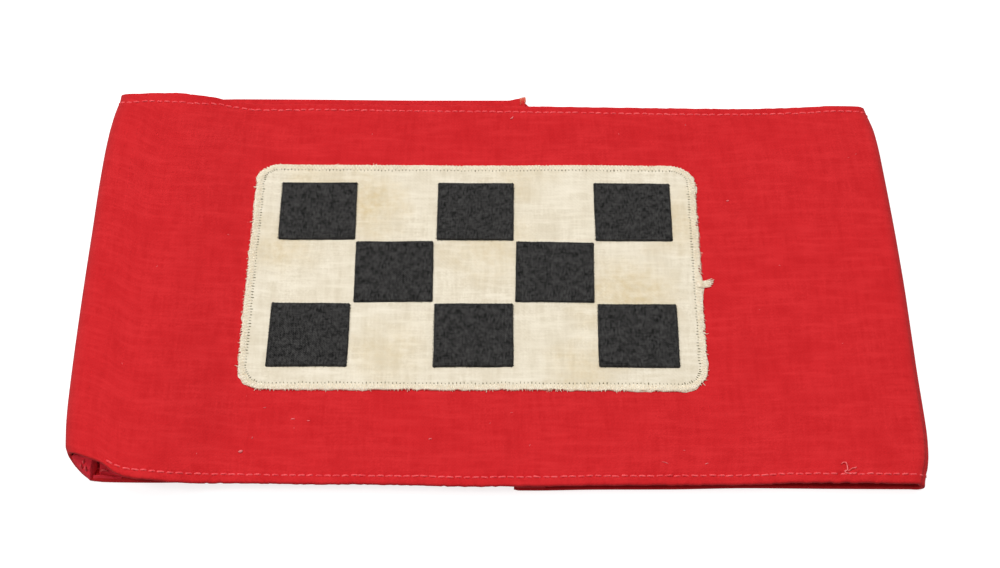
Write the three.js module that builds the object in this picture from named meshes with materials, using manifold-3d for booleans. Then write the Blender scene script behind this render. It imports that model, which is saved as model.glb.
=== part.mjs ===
// A cotton armband, laid down flat: a hemmed strip sewn into a loop, with a chequered panel on its front.
// Millimetres, +Z up. X runs along the laid band, Y across it from hem to hem, and the band rests on Z = 0.
import * as THREE from 'three';
import { mergeVertices } from 'three/addons/utils/BufferGeometryUtils.js';
import Module from 'manifold-3d';

const wasm = await Module();
wasm.setup();

// Driving dimensions
const LAID_LENGTH = 193.6; // fold to fold
const CLOTH = 1.0; // one layer
const HEM_CLOTH = 1.5; // the turned hem, two layers pressed together
const PIECE_GAP = 0.3; // between a piece and the cloth that it is sewn to

// The front layer's outer face, above the table
const FRONT_HEIGHT = 3.1;
const HEM_HEIGHT = 4.0;
const HEM_SLOPE_FROM = 13; // distance from the rim where the front starts to rise to the hem
const HEM_SLOPE_TO = 5.5;

// The two folds are half ellipses, each with a loose loop of cloth behind it
const LEFT_LOOP = { height: 7.4, depth: 5.0, shoulder: 13.5 };
const RIGHT_LOOP = { height: 4.8, depth: 3.2, shoulder: 5.0 };
const RIGHT_RUN = 34;

// The back seam, a little slanted, with its two allowances pressed open inside
const SEAM = { xAtBottom: 4.7, xAtTop: 7.5, halfGroove: 0.15, allowance: 7.0, under: 0.8, over: 1.7 };

// Sections across the band, from the lower rim (share 0) to the upper (share 1).
// leftIn and rightIn: how far each fold lies inside the laid length.
// leftRun: how far the left loop takes to sink to the height of the front.
const SECTIONS = [
  { share: 0.0, leftIn: 2.9, rightIn: 1.5, leftRun: 22 },
  { share: 0.0035, leftIn: 2.8, rightIn: 1.5, leftRun: 22 },
  { share: 0.042, leftIn: 1.9, rightIn: 0.9, leftRun: 23 },
  { share: 0.048, leftIn: 1.8, rightIn: 0.8, leftRun: 23 },
  { share: 0.09, leftIn: 1.4, rightIn: 0.3, leftRun: 24 },
  { share: 0.15, leftIn: 1.2, rightIn: 0.0, leftRun: 25 },
  { share: 0.24, leftIn: 1.0, rightIn: 0.0, leftRun: 27 },
  { share: 0.35, leftIn: 0.7, rightIn: 0.0, leftRun: 28 },
  { share: 0.5, leftIn: 0.3, rightIn: 0.1, leftRun: 30 },
  { share: 0.65, leftIn: 0.1, rightIn: 0.3, leftRun: 31 },
  { share: 0.77, leftIn: 0.0, rightIn: 0.8, leftRun: 32 },
  { share: 0.86, leftIn: 0.1, rightIn: 1.3, leftRun: 32 },
  { share: 0.91, leftIn: 0.4, rightIn: 1.9, leftRun: 30 },
  { share: 0.952, leftIn: 0.8, rightIn: 2.6, leftRun: 28 },
  { share: 0.958, leftIn: 0.9, rightIn: 2.7, leftRun: 28 },
  { share: 0.9965, leftIn: 1.5, rightIn: 3.2, leftRun: 27 },
  { share: 1.0, leftIn: 1.6, rightIn: 3.2, leftRun: 27 },
];

// The two rims, followed round the loop. Place 0 is the seam, 1 to 2 the right fold, 2 to 3 the front,
// 3 to 4 the left fold and 5 the seam again: the two ends were sewn 3.5 mm out of line.
const RIMS = [
  { place: 0.0, bottom: -56.6, top: 58.8 },
  { place: 1.0, bottom: -56.2, top: 58.0 },
  { place: 1.5, bottom: -55.6, top: 56.0 },
  { place: 2.0, bottom: -57.0, top: 57.2 },
  { place: 2.5, bottom: -57.2, top: 57.7 },
  { place: 2.75, bottom: -57.0, top: 58.0 },
  { place: 2.85, bottom: -58.2, top: 58.2 },
  { place: 2.94, bottom: -58.4, top: 58.5 },
  { place: 3.0, bottom: -53.0, top: 58.7 },
  { place: 3.5, bottom: -47.0, top: 59.6 },
  { place: 3.75, bottom: -51.4, top: 60.4 },
  { place: 4.0, bottom: -54.6, top: 61.2 },
  { place: 5.0, bottom: -53.1, top: 62.4 },
];
const LEG_STEPS = [8, 10, 38, 10, 8]; // facets in each stretch of the loop

// The panel and its chequers
const CHECK = { pitch: 19, size: 18.4, columns: 5, rows: 3 };
const PANEL = {
  x: -4.7,
  y: 2.9,
  width: CHECK.columns * CHECK.pitch + 12,
  height: CHECK.rows * CHECK.pitch + 12,
  corner: 6,
  stepsX: 24,
  stepsY: 14,
};
const CHECK_STEPS = 5;

// Colours, roughness of dry cotton
const RED_COTTON = new THREE.MeshStandardMaterial({ color: 0xc8262b, roughness: 0.9, metalness: 0 });
const CREAM_COTTON = new THREE.MeshStandardMaterial({ color: 0xe8dcbe, roughness: 0.92, metalness: 0 });
const BLACK_TWILL = new THREE.MeshStandardMaterial({ color: 0x26262a, roughness: 0.88, metalness: 0 });

const HALF_LENGTH = LAID_LENGTH / 2;
const lowestRim = Math.min(...RIMS.map((rim) => rim.bottom));
const highestRim = Math.max(...RIMS.map((rim) => rim.top));
const RIM_MIDDLE = (lowestRim + highestRim) / 2; // moved to Y = 0, so that the origin is under the middle

const lerp = (a, b, t) => a + (b - a) * t;
const smooth = (t) => {
  const c = Math.min(1, Math.max(0, t));
  return c * c * (3 - 2 * c);
};

// The value of a table's column at a key, eased between its rows.
function tabled(rows, key, column, at) {
  const next = rows.findIndex((row) => row[key] >= at);
  if (next <= 0) return rows[next < 0 ? rows.length - 1 : 0][column];
  const [a, b] = [rows[next - 1], rows[next]];
  return lerp(a[column], b[column], smooth((at - a[key]) / (b[key] - a[key])));
}

const leftTip = (share) => -HALF_LENGTH + tabled(SECTIONS, 'share', 'leftIn', share);
const rightTip = (share) => HALF_LENGTH - tabled(SECTIONS, 'share', 'rightIn', share);
const seamX = (share) => lerp(SEAM.xAtBottom, SEAM.xAtTop, share);

// Height of the front's outer face between the folds.
function frontHeight(x, share) {
  const width = highestRim - lowestRim;
  const fromRim = Math.min(share, 1 - share) * width;
  const hem = smooth((HEM_SLOPE_FROM - fromRim) / (HEM_SLOPE_FROM - HEM_SLOPE_TO));
  const flat = lerp(FRONT_HEIGHT, HEM_HEIGHT, hem);
  const leftEdge = -HALF_LENGTH + LEFT_LOOP.depth + LEFT_LOOP.shoulder;
  const rightEdge = HALF_LENGTH - RIGHT_LOOP.depth - RIGHT_LOOP.shoulder;
  const leftRun = tabled(SECTIONS, 'share', 'leftRun', share);
  const left = smooth((leftEdge + leftRun - x) / leftRun);
  const right = smooth((x - rightEdge + RIGHT_RUN) / RIGHT_RUN);
  return flat + left * (LEFT_LOOP.height - flat) + right * (RIGHT_LOOP.height - flat);
}

// A point of the section's outer face, by its place round the loop.
function outerPoint(place, share) {
  const leg = Math.min(4, Math.floor(place));
  const t = place - leg;
  const turn = Math.PI * t;
  const half = (1 - Math.cos(turn)) / 2;
  const rightRoot = rightTip(share) - RIGHT_LOOP.depth;
  const leftRoot = leftTip(share) + LEFT_LOOP.depth;
  if (leg === 0) return [lerp(seamX(share) + SEAM.halfGroove, rightRoot, t), 0];
  if (leg === 1) return [rightRoot + RIGHT_LOOP.depth * Math.sin(turn), RIGHT_LOOP.height * half];
  if (leg === 2) {
    const eased = lerp(t, half, 0.35); // closer facets towards the folds
    const x = lerp(rightRoot, leftRoot, eased);
    return [x, frontHeight(x, share)];
  }
  if (leg === 3) return [leftRoot - LEFT_LOOP.depth * Math.sin(turn), LEFT_LOOP.height * (1 - half)];
  return [lerp(leftRoot, seamX(share) - SEAM.halfGroove, t), 0];
}

// The band's wall: an outer and an inner skin over the same grid, closed along both rims and both ends.
// Round the loop the inside lies on the left, so the inner skin is the one that faces up over the back.
function bandWall() {
  const places = LEG_STEPS.flatMap((steps, leg) => Array.from({ length: steps }, (_, i) => leg + i / steps));
  places.push(LEG_STEPS.length);
  const outer = [];
  const inner = [];
  SECTIONS.forEach(({ share }, row) => {
    const line = places.map((place) => outerPoint(place, share));
    const atRim = row === 0 || row === SECTIONS.length - 1;
    const inHem = row <= 2 || row >= SECTIONS.length - 3;
    const thickness = inHem ? HEM_CLOTH : CLOTH;
    const bevel = atRim ? 0.4 : 0; // rounds the turned edge
    places.forEach((place, i) => {
      const before = line[Math.max(0, i - 1)];
      const after = line[Math.min(line.length - 1, i + 1)];
      const length = Math.hypot(after[0] - before[0], after[1] - before[1]);
      const inward = [-(after[1] - before[1]) / length, (after[0] - before[0]) / length];
      const bottom = tabled(RIMS, 'place', 'bottom', place);
      const top = tabled(RIMS, 'place', 'top', place);
      const y = lerp(bottom, top, share) - RIM_MIDDLE;
      const at = (depth) => [line[i][0] + inward[0] * depth, y, line[i][1] + inward[1] * depth];
      outer.push(at(bevel));
      inner.push(at(thickness - bevel));
    });
  });
  return skinned(inner, outer, places.length, SECTIONS.length);
}

// A closed geometry from two skins of columns x rows points: faces of the first point out, of the second in.
function skinned(first, second, columns, rows) {
  const index = [];
  const half = first.length;
  const quad = (a, b, c, d) => index.push(a, b, c, a, c, d);
  for (let r = 0; r < rows - 1; r += 1) {
    for (let c = 0; c < columns - 1; c += 1) {
      const [a, b] = [r * columns + c, r * columns + c + 1];
      const [d, e] = [a + columns, b + columns];
      quad(a, b, e, d);
      quad(half + a, half + d, half + e, half + b);
    }
  }
  for (let c = 0; c < columns - 1; c += 1) {
    const last = (rows - 1) * columns + c;
    quad(c, half + c, half + c + 1, c + 1);
    quad(last, last + 1, half + last + 1, half + last);
  }
  for (let r = 0; r < rows - 1; r += 1) {
    const [a, d] = [r * columns, (r + 1) * columns];
    const end = columns - 1;
    quad(a, d, half + d, half + a);
    quad(a + end, half + a + end, half + d + end, d + end);
  }
  const geometry = new THREE.BufferGeometry();
  geometry.setAttribute('position', new THREE.Float32BufferAttribute([...first, ...second].flat(), 3));
  geometry.setIndex(index);
  return geometry;
}

// A flat strip of the seam's allowance on the inside of the back, from xNear to xFar at each rim.
function allowance(side) {
  const place = side < 0 ? LEG_STEPS.length : 0;
  const points = [];
  for (const z of [SEAM.over, SEAM.under]) {
    for (const [share, rim] of [[0, 'bottom'], [1, 'top']]) {
      const y = tabled(RIMS, 'place', rim, place) - RIM_MIDDLE + (share ? -1 : 1) * CLOTH / 2;
      const near = seamX(share) - side * SEAM.halfGroove;
      const far = seamX(share) + side * SEAM.allowance;
      points.push([Math.min(near, far), y, z], [Math.max(near, far), y, z]);
    }
  }
  return skinned(points.slice(0, 4), points.slice(4), 2, 2);
}

// A layer of cloth that follows the front, over a rectangle.
function frontLayer(x, y, width, height, stepsX, stepsY, under, thickness) {
  const shareOf = (at) => (at - lowestRim) / (highestRim - lowestRim);
  const upper = [];
  const lower = [];
  for (let r = 0; r <= stepsY; r += 1) {
    for (let c = 0; c <= stepsX; c += 1) {
      const px = x + width * (c / stepsX - 0.5);
      const py = y + height * (r / stepsY - 0.5);
      const z = frontHeight(px, shareOf(py)) + under;
      upper.push([px, py - RIM_MIDDLE, z + thickness]);
      lower.push([px, py - RIM_MIDDLE, z]);
    }
  }
  return skinned(upper, lower, stepsX + 1, stepsY + 1);
}

function toSolid(geometry) {
  const bare = geometry.clone();
  for (const name of ['normal', 'uv']) bare.deleteAttribute(name);
  const merged = mergeVertices(bare, 1e-5);
  return new wasm.Manifold(new wasm.Mesh({
    numProp: 3,
    vertProperties: new Float32Array(merged.attributes.position.array),
    triVerts: new Uint32Array(merged.index.array),
  }));
}

function toGeometry(solid) {
  const { vertProperties, triVerts } = solid.getMesh();
  const geometry = new THREE.BufferGeometry();
  geometry.setAttribute('position', new THREE.BufferAttribute(vertProperties, 3));
  geometry.setIndex(new THREE.BufferAttribute(triVerts, 1));
  return geometry;
}

function band() {
  const sewn = toSolid(bandWall()).add(toSolid(allowance(-1))).add(toSolid(allowance(1)));
  return toGeometry(sewn);
}

// The panel's rounded outline, pressed down through a layer that follows the front.
function panel() {
  const { x, y, width, height, corner, stepsX, stepsY } = PANEL;
  const layer = frontLayer(x, y, width, height, stepsX, stepsY, PIECE_GAP, CLOTH);
  const [halfX, halfY] = [width / 2, height / 2];
  const outline = new THREE.Shape();
  outline.moveTo(-halfX + corner, -halfY);
  outline.absarc(halfX - corner, -halfY + corner, corner, -Math.PI / 2, 0, false);
  outline.absarc(halfX - corner, halfY - corner, corner, 0, Math.PI / 2, false);
  outline.absarc(-halfX + corner, halfY - corner, corner, Math.PI / 2, Math.PI, false);
  outline.absarc(-halfX + corner, -halfY + corner, corner, Math.PI, Math.PI * 1.5, false);
  const cutter = new THREE.ExtrudeGeometry(outline, { depth: 20, bevelEnabled: false, curveSegments: 6 });
  cutter.translate(x, y - RIM_MIDDLE, 0);
  return toGeometry(toSolid(layer).intersect(toSolid(cutter)));
}

// The squares of one colour, at every other place of the chequer.
function checkPlaces() {
  const places = [];
  for (let r = 0; r < CHECK.rows; r += 1) {
    for (let c = 0; c < CHECK.columns; c += 1) {
      if ((r + c) % 2) continue;
      const x = PANEL.x + (c - (CHECK.columns - 1) / 2) * CHECK.pitch;
      const y = PANEL.y + (r - (CHECK.rows - 1) / 2) * CHECK.pitch;
      places.push({ x, y });
    }
  }
  return places;
}

const checkSquare = ({ x, y }) =>
  frontLayer(x, y, CHECK.size, CHECK.size, CHECK_STEPS, CHECK_STEPS, CLOTH + 2 * PIECE_GAP, CLOTH);

function named(name, geometry, material) {
  const mesh = new THREE.Mesh(geometry, material);
  mesh.name = name;
  return mesh;
}

const armband = new THREE.Group();
armband.add(named('band', band(), RED_COTTON));
armband.add(named('panel', panel(), CREAM_COTTON));
checkPlaces().forEach((place, i) => {
  armband.add(named(`check_square_${i + 1}`, checkSquare(place), BLACK_TWILL));
});

export default armband;
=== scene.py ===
# A cotton armband laid down flat, dressed for rendering: cloth, hems, stitches, sewn panel and lint.
# The shape functions work in millimetres, in the part's own frame, and meshes are made in metres.
import math

import bpy
import numpy as np
from mathutils import Matrix


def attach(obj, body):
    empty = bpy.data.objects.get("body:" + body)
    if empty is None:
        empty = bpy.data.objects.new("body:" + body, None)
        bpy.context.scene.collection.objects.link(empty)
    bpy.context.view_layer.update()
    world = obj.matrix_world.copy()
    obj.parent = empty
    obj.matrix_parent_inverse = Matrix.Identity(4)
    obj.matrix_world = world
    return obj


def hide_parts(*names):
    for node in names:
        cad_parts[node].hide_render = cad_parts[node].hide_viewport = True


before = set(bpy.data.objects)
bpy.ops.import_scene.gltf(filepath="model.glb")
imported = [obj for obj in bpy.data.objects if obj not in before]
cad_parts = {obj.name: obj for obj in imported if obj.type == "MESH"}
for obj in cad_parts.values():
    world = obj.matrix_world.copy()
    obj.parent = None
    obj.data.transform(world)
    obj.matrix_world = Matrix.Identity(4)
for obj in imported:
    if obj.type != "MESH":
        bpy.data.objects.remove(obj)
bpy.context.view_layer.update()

MM = 0.001
RANDOM_SEED = 20


def table(columns, *rows):
    """Rows of numbers under named columns."""
    return [dict(zip(columns.split(), row)) for row in rows]


# The laid band
LAID_LENGTH = 193.6
HALF_LENGTH = LAID_LENGTH / 2
FRONT_HEIGHT = 3.1
HEM_HEIGHT = 4.0
HEM_SLOPE_FROM = 13.0
HEM_SLOPE_TO = 5.5
CLOTH = 0.55
HEM_CLOTH = 0.95
HEM_WIDTH = 4.6
STITCH_LINE = {"bottom": 2.15, "top": 2.2}
STITCH_PITCH = 1.95
PUCKER_PITCH = 0.95
MISSING_STITCHES = (2.965, 3.5)  # places where the near hem has lost its outer stitches
LEFT_LOOP = {"height": 7.4, "depth": 5.0, "shoulder": 13.5}
RIGHT_LOOP = {"height": 4.8, "depth": 3.2, "shoulder": 5.0}
RIGHT_RUN = 34.0
SEAM_AT_BOTTOM = 4.7  # X of the back seam at the two rims
SEAM_AT_TOP = 7.5
SEAM_ALLOWANCE = 7.0
SEAM_CLOTH = 0.45
SEAM_RIDGE = 0.35
SEAM_CORNER_FROM = 0.955  # from this share of the width, the far corner of the seam stands up a little
SEAM_CORNER_LIFT = 0.75

# By share of the width: how far each fold lies inside the laid length, and how long the left loop slopes down
SECTIONS = table(
    "share left_in right_in left_run",
    (0.0, 3.2, 2.2, 20), (0.01, 2.75, 2.05, 20), (0.02, 2.35, 1.8, 21),
    (0.03, 2.2, 1.55, 21), (0.045, 2.0, 1.0, 22), (0.08, 1.6, 0.35, 24),
    (0.135, 1.25, 0.05, 25), (0.29, 0.75, 0.25, 28), (0.455, 0.45, 0.25, 30),
    (0.6, 0.3, 0.5, 30), (0.72, 0.15, 0.9, 30), (0.8, 0.2, 1.25, 29),
    (0.87, 0.45, 1.6, 26), (0.926, 0.95, 2.15, 23), (0.96, 1.5, 2.95, 21),
    (0.98, 1.9, 3.5, 20), (1.0, 1.95, 3.95, 20),
)

# The two rims by place round the loop: the seam at 0, the right fold from 1 to 2, the left one from 3 to 4
RIMS = table(
    "place bottom top",
    (0.0, -56.85, 61.3), (0.006, -56.85, 60.6), (0.014, -56.85, 60.0),
    (0.022, -56.85, 59.7), (0.045, -56.85, 59.0), (0.2, -56.55, 58.7),
    (0.4, -56.4, 58.6), (0.6, -56.0, 58.4), (0.85, -56.1, 58.1),
    (1.0, -56.1, 58.1), (1.25, -56.6, 58.4), (1.5, -57.15, 58.3),
    (1.75, -57.2, 57.5), (2.0, -57.3, 57.1), (3.0, -53.1, 58.1),
    (3.1, -52.5, 58.3), (3.25, -51.5, 59.0), (3.5, -50.4, 60.7),
    (3.6, -50.6, 61.1), (3.75, -51.8, 61.5), (3.88, -53.3, 61.65),
    (4.0, -54.7, 61.8), (4.015, -54.95, 61.85), (4.04, -55.1, 61.95),
    (4.15, -55.2, 62.3), (4.25, -55.0, 62.65), (4.45, -54.4, 62.6),
    (4.7, -54.1, 62.4), (5.0, -53.2, 62.5),
)

# The rims of the front, between the two folds
FRONT_RIMS = table(
    "x bottom top",
    (-90.2, -52.4, 58.1), (-88.6, -53.1, 58.2), (-86.6, -53.9, 58.4),
    (-85.0, -54.75, 58.4), (-83.4, -56.2, 58.3), (-82.2, -57.15, 58.3),
    (-81.4, -57.6, 58.3), (-79.5, -58.35, 58.3), (-76.4, -58.8, 57.9),
    (-71.0, -58.8, 57.8), (-65.0, -58.15, 57.6), (-58.0, -57.5, 57.6),
    (-46.0, -57.55, 57.7), (-33.0, -57.6, 57.7), (-20.0, -57.85, 57.6),
    (-3.0, -58.15, 57.5), (8.0, -58.05, 57.3), (24.0, -57.6, 57.1),
    (41.0, -57.4, 56.9), (56.0, -57.2, 56.65), (66.0, -56.85, 56.5),
    (73.5, -56.95, 56.55), (78.0, -57.2, 56.75), (84.5, -57.25, 57.2),
    (91.4, -57.3, 57.1),
)
RIM_MIDDLE = 2.0  # the part's frame has its Y = 0 half way between the outermost rims
FULL_WIDTH = 120.8  # between the outermost rims
NOMINAL_RIM = 58.0  # about how far a rim lies from the middle

# Mesh columns in each stretch of the loop, from the seam. Each stretch is one place long.
LEG_STEPS = [52, 20, 290, 32, 60]
LAP = len(LEG_STEPS)

# The panel and its squares
CHECK_PITCH = 19.0
CHECK_SIZE = 18.4
CHECK_COLUMNS = 5
CHECK_ROWS = 3
PANEL_MARGIN = 6.0
PANEL_X = -4.7
PANEL_Y = 2.9 - RIM_MIDDLE
PANEL_WIDTH = CHECK_COLUMNS * CHECK_PITCH + 2 * PANEL_MARGIN
PANEL_HEIGHT = CHECK_ROWS * CHECK_PITCH + 2 * PANEL_MARGIN
PANEL_CORNER = 6.0
STRAIGHT_X = PANEL_WIDTH - 2 * PANEL_CORNER
STRAIGHT_Y = PANEL_HEIGHT - 2 * PANEL_CORNER
CORNER_ARC = PANEL_CORNER * math.pi / 2
EDGE_LENGTH = 2 * (STRAIGHT_X + STRAIGHT_Y) + 4 * CORNER_ARC
PANEL_CLOTH = 0.4
PANEL_LIFT = 0.08
PANEL_STEP = 0.6  # of its mesh, away from the edge
BORDER_WIDTH = 1.7
ZIGZAG_PITCH = 0.85
TWILL_CLOTH = 0.55
TWILL_LIFT = 0.06
TWILL_CORNER = 0.35
WHIP_PITCH = 0.9

# Radii of threads and yarns
HEM_THREAD = 0.235
TUCK_THREAD = 0.21
LOOSE_END = 0.13
BORDER_THREAD = 0.1
TUFT_YARN = 0.085
EDGE_YARN = 0.075
WHIP_THREAD = 0.07

# The camera, found from the photograph's own perspective
CAMERA_TARGET = (1.35, -2.0, 2.8)
CAMERA_DISTANCE = 509.0
CAMERA_ELEVATION = math.radians(50.37)
CAMERA_YAW = math.radians(0.411)
CAMERA_ROLL = math.radians(-0.105)
SENSOR = 36.0
LENS = 77.8


def smooth(t):
    """A soft step from 0 to 1."""
    c = np.clip(t, 0.0, 1.0)
    return c * c * (3.0 - 2.0 * c)


def bell(distance, width):
    """A bump of height 1 that fades on both sides."""
    return np.exp(-((distance / width) ** 2))


def table_curve(rows, key, column):
    """A smooth curve without overshoot through a table's column."""
    x = np.array([row[key] for row in rows], float)
    y = np.array([row[column] for row in rows], float)
    step = np.diff(x)
    slope = np.diff(y) / step
    tangent = np.concatenate([slope[:1], np.zeros(len(x) - 2), slope[-1:]])
    product = slope[:-1] * slope[1:]
    both = np.where(product > 0, slope[:-1] + slope[1:], 1.0)
    tangent[1:-1] = np.where(product > 0, 2 * product / both, 0.0)

    def at(q):
        q = np.asarray(q, float)
        i = np.clip(np.searchsorted(x, q) - 1, 0, len(step) - 1)
        t = np.clip((q - x[i]) / step[i], 0.0, 1.0)
        rise = t * t * (3 - 2 * t)
        start = t * (1 - t) ** 2 * step[i] * tangent[i]
        end = t * t * (1 - t) * step[i] * tangent[i + 1]
        return y[i] * (1 - rise) + y[i + 1] * rise + start - end

    return at


left_in = table_curve(SECTIONS, "share", "left_in")
right_in = table_curve(SECTIONS, "share", "right_in")
left_run = table_curve(SECTIONS, "share", "left_run")
loop_bottom = table_curve(RIMS, "place", "bottom")
loop_top = table_curve(RIMS, "place", "top")
front_bottom = table_curve(FRONT_RIMS, "x", "bottom")
front_top = table_curve(FRONT_RIMS, "x", "top")


def field(x, y, cell, seed):
    """Smooth noise from -1 to 1 with lumps of one cell, which is a size, or one for x and one for y."""
    cell_x, cell_y = cell if isinstance(cell, tuple) else (cell, cell)
    lattice = np.random.default_rng(RANDOM_SEED + seed).uniform(-1, 1, (256, 256))
    u = np.asarray(x, float) / cell_x + 97.3
    v = np.asarray(y, float) / cell_y + 61.7
    i, j = np.floor(u).astype(int), np.floor(v).astype(int)
    s, t = smooth(u - i), smooth(v - j)
    i, j = i % 255, j % 255
    low = lattice[i, j] * (1 - s) + lattice[i + 1, j] * s
    high = lattice[i, j + 1] * (1 - s) + lattice[i + 1, j + 1] * s
    return low * (1 - t) + high * t


# Shape of the band

def front_height(x, share):
    """Height of the front's outer face, without its small folds."""
    from_rim = np.minimum(share, 1 - share) * FULL_WIDTH
    hem = smooth((HEM_SLOPE_FROM - from_rim) / (HEM_SLOPE_FROM - HEM_SLOPE_TO))
    flat = FRONT_HEIGHT + hem * (HEM_HEIGHT - FRONT_HEIGHT)
    left_edge = -HALF_LENGTH + LEFT_LOOP["depth"] + LEFT_LOOP["shoulder"]
    right_edge = HALF_LENGTH - RIGHT_LOOP["depth"] - RIGHT_LOOP["shoulder"]
    run = left_run(share)
    left = smooth((left_edge + run - x) / run)
    right = smooth((x - right_edge + RIGHT_RUN) / RIGHT_RUN)
    return flat + left * (LEFT_LOOP["height"] - flat) + right * (RIGHT_LOOP["height"] - flat)


def fold_roots(share):
    """X where the right and the left fold begin."""
    right_root = HALF_LENGTH - right_in(share) - RIGHT_LOOP["depth"]
    left_root = -HALF_LENGTH + left_in(share) + LEFT_LOOP["depth"]
    return right_root, left_root


def front_eased(t):
    """Spaces the front's columns closer together near the folds."""
    return 0.65 * t + 0.35 * (1 - np.cos(np.pi * t)) / 2


def front_x(place, share):
    """X of a place on the front."""
    right_root, left_root = fold_roots(share)
    return right_root + (left_root - right_root) * front_eased(np.clip(place - 2, 0, 1))


def rim_bottom(place):
    place = np.asarray(place, float)
    on_front = (place >= 2) & (place <= 3)
    x = front_x(place, 0.0)
    crumple = 0.16 * field(x, 0 * x, 2.8, 41) * smooth((x - 62) / 8) * smooth((91 - x) / 4)
    return np.where(on_front, front_bottom(x) + crumple, loop_bottom(place))


def rim_top(place):
    place = np.asarray(place, float)
    on_front = (place >= 2) & (place <= 3)
    return np.where(on_front, front_top(front_x(place, 1.0)), loop_top(place))


FRONT_TABLE_T = np.linspace(0, 1, 400)
FRONT_TABLE_EASED = front_eased(FRONT_TABLE_T)


def front_place(x, share):
    """The place round the loop of a point of the front."""
    right_root, left_root = fold_roots(share)
    eased = (x - right_root) / (left_root - right_root)
    return 2.0 + np.interp(eased, FRONT_TABLE_EASED, FRONT_TABLE_T)


def seam_x(share):
    return SEAM_AT_BOTTOM + (SEAM_AT_TOP - SEAM_AT_BOTTOM) * share


def front_waves(x, y):
    """Small undulations of the front, and the ridge that the back seam presses into it."""
    waves = 0.20 * field(x, y, 30, 1) + 0.10 * field(x, y, 12, 2) + 0.035 * field(x, y, (3.5, 7), 3)
    seam = seam_x((y + NOMINAL_RIM) / (2 * NOMINAL_RIM))
    ridge = 0.22 * bell(x - seam + 3.0, 1.6) * smooth((-y - 10) / 25)
    return waves + ridge


def hem_relief(run, share, width):
    """Outward relief of a hem: its step and the puckers that slant away from the stitch line."""
    dist = np.minimum(share, 1 - share) * width
    step = 0.15 * smooth((HEM_WIDTH + 0.8 - dist) / 1.3)
    near = smooth((HEM_WIDTH - dist) / 2.0)
    lower_right = smooth((118 - run) / 10) * smooth((0.5 - share) / 0.1)
    slanted = (0.11 + 0.12 * lower_right) * field(run + 0.8 * dist, dist, (PUCKER_PITCH, 14), 5)
    return step + near * (slanted + 0.05 * field(run, dist, (7, 20), 6))


def stitch_distance(rim, place):
    """How far the stitch line lies from a rim: further in on the back and at the front's far left corner."""
    on_back = smooth((place - 3.1) / 0.5) + smooth((1.9 - place) / 0.5)
    corner = smooth((place - 2.84) / 0.06) * smooth((3.6 - place) / 0.5)
    return STITCH_LINE[rim] + 1.0 * on_back + (1.1 * corner if rim == "top" else 0.0)


def stitch_line_relief(place, share, width):
    """The line that the hem's stitches press into the cloth."""
    near_bottom = bell(share * width - stitch_distance("bottom", place), 0.42)
    near_top = bell((1 - share) * width - stitch_distance("top", place), 0.42)
    return -0.2 * (near_bottom + near_top)


def width_at(place):
    return rim_top(place) - rim_bottom(place)


def base_section(place, share):
    """X and Z of the outer face, before relief."""
    leg = np.clip(np.floor(place).astype(int), 0, LAP - 1)
    t = place - leg
    turn = np.pi * t
    half = (1 - np.cos(turn)) / 2
    right_root, left_root = fold_roots(share)
    seam = seam_x(share)
    on_front = right_root + (left_root - right_root) * front_eased(t)
    x = np.select(
        [leg == 0, leg == 1, leg == 2, leg == 3],
        [
            seam + (right_root - seam) * t,
            right_root + RIGHT_LOOP["depth"] * np.sin(turn),
            on_front,
            left_root - LEFT_LOOP["depth"] * np.sin(turn),
        ],
        left_root + (seam - left_root) * t,
    )
    z = np.select(
        [leg == 1, leg == 2, leg == 3],
        [RIGHT_LOOP["height"] * half, front_height(x, share), LEFT_LOOP["height"] * (1 - half)],
        0.0,
    )
    return x, z


def run_table():
    """Length round the loop at many places, measured half way across the band."""
    places = np.linspace(0, LAP, 2001)
    x, z = base_section(places, np.full(places.shape, 0.5))
    return places, np.concatenate([[0.0], np.cumsum(np.hypot(np.diff(x), np.diff(z)))])


RUN_PLACES, RUN_LENGTHS = run_table()
FULL_RUN = RUN_LENGTHS[-1]


def run_of(place):
    """Length along the strip, in millimetres, from the seam."""
    return np.interp(place, RUN_PLACES, RUN_LENGTHS)


def place_at(run):
    return np.interp(run, RUN_LENGTHS, RUN_PLACES)


def outer_face(place, share):
    """Points of the outer face with its relief, as an array of x, y, z."""
    place, share = np.broadcast_arrays(np.asarray(place, float), np.asarray(share, float))
    x, z = base_section(place, share)
    run, width = run_of(place), width_at(place)
    y = rim_bottom(place) + share * width - RIM_MIDDLE
    on_front = smooth((place - 2.02) / 0.06) * smooth((2.98 - place) / 0.06)
    on_back = smooth((1.0 - place) / 0.1) + smooth((place - 4.0) / 0.1)
    line = stitch_line_relief(place, share, width)
    z = z + on_front * (front_waves(x, y) + hem_relief(run, share, width) + line) - on_back * line
    from_seam = np.minimum(run, FULL_RUN - run)
    z = z + SEAM_RIDGE * bell(from_seam, 0.6)
    beside_seam = smooth((run - FULL_RUN + 4.4) / 3.2)
    z = z + SEAM_CORNER_LIFT * beside_seam * smooth((share - SEAM_CORNER_FROM) / 0.04)
    crease = bell(place - 1.70, 0.035) * (1 - 0.7 * smooth((share - 0.1) / 0.5))
    # The seam's other end lies a little under the lifted corner, so that no slit shows
    under_corner = 0.35 * bell(run, 0.8) * smooth((share - SEAM_CORNER_FROM) / 0.03)
    return np.stack([x - 0.35 * crease - under_corner, y, z], -1)


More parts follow.
